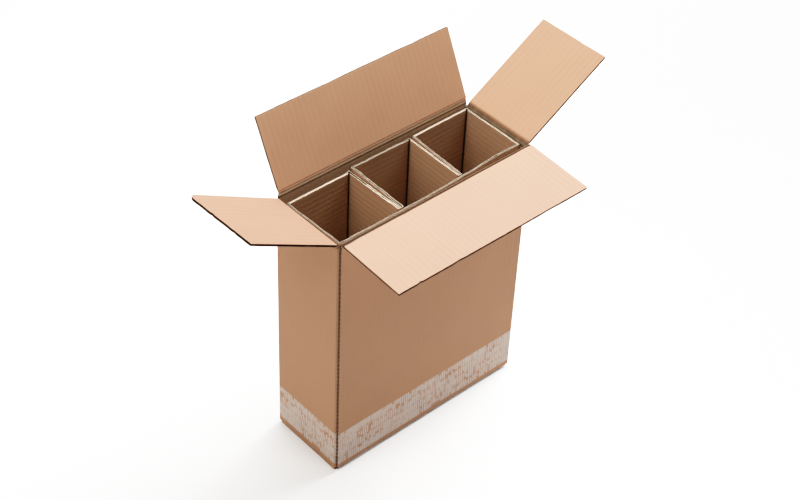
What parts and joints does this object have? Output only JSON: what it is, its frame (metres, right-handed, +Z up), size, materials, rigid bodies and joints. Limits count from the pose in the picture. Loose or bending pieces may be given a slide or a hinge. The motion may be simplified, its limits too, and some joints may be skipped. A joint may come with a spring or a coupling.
{
  "type": "bottle shipping box",
  "caption": "Tall corrugated shipping carton, open at the top with its flaps spread, holding a folded cardboard divider that makes a row of bottle cells.",
  "frame": {"origin": "on the surface the carton stands on, at the middle of its four walls", "axes": "+Z up; +X along the long walls, towards the right end; -Y towards the printed front wall, +Y towards the back wall"},
  "size_m": [0.5709, 0.2632, 0.4821],
  "materials": {
    "carton_board": "matte",
    "divider_board": "matte"
  },
  "bodies": {
    "carton": {"carton_body": "carton_board", "bottle_divider": "divider_board"},
    "front_flap": {"flap_front": "carton_board"},
    "back_flap": {"flap_back": "carton_board"},
    "left_flap": {"flap_left": "carton_board"},
    "right_flap": {"flap_right": "carton_board"}
  },
  "joints": [
    {"name": "front_crease", "type": "hinge", "parent": "carton", "child": "front_flap", "pos_m": [0, -0.0585, 0.389], "axis": [1, 0, 0], "range_deg": [-183.8, 56.2]},
    {"name": "back_crease", "type": "hinge", "parent": "carton", "child": "back_flap", "pos_m": [0, 0.0585, 0.393], "axis": [-1, 0, 0], "range_deg": [-116, 124]},
    {"name": "left_crease", "type": "hinge", "parent": "carton", "child": "left_flap", "pos_m": [-0.1545, 0, 0.385], "axis": [0, -1, 0], "range_deg": [-150.8, 89.2]},
    {"name": "right_crease", "type": "hinge", "parent": "carton", "child": "right_flap", "pos_m": [0.1545, 0, 0.385], "axis": [0, 1, 0], "range_deg": [-149, 91]}
  ]
}
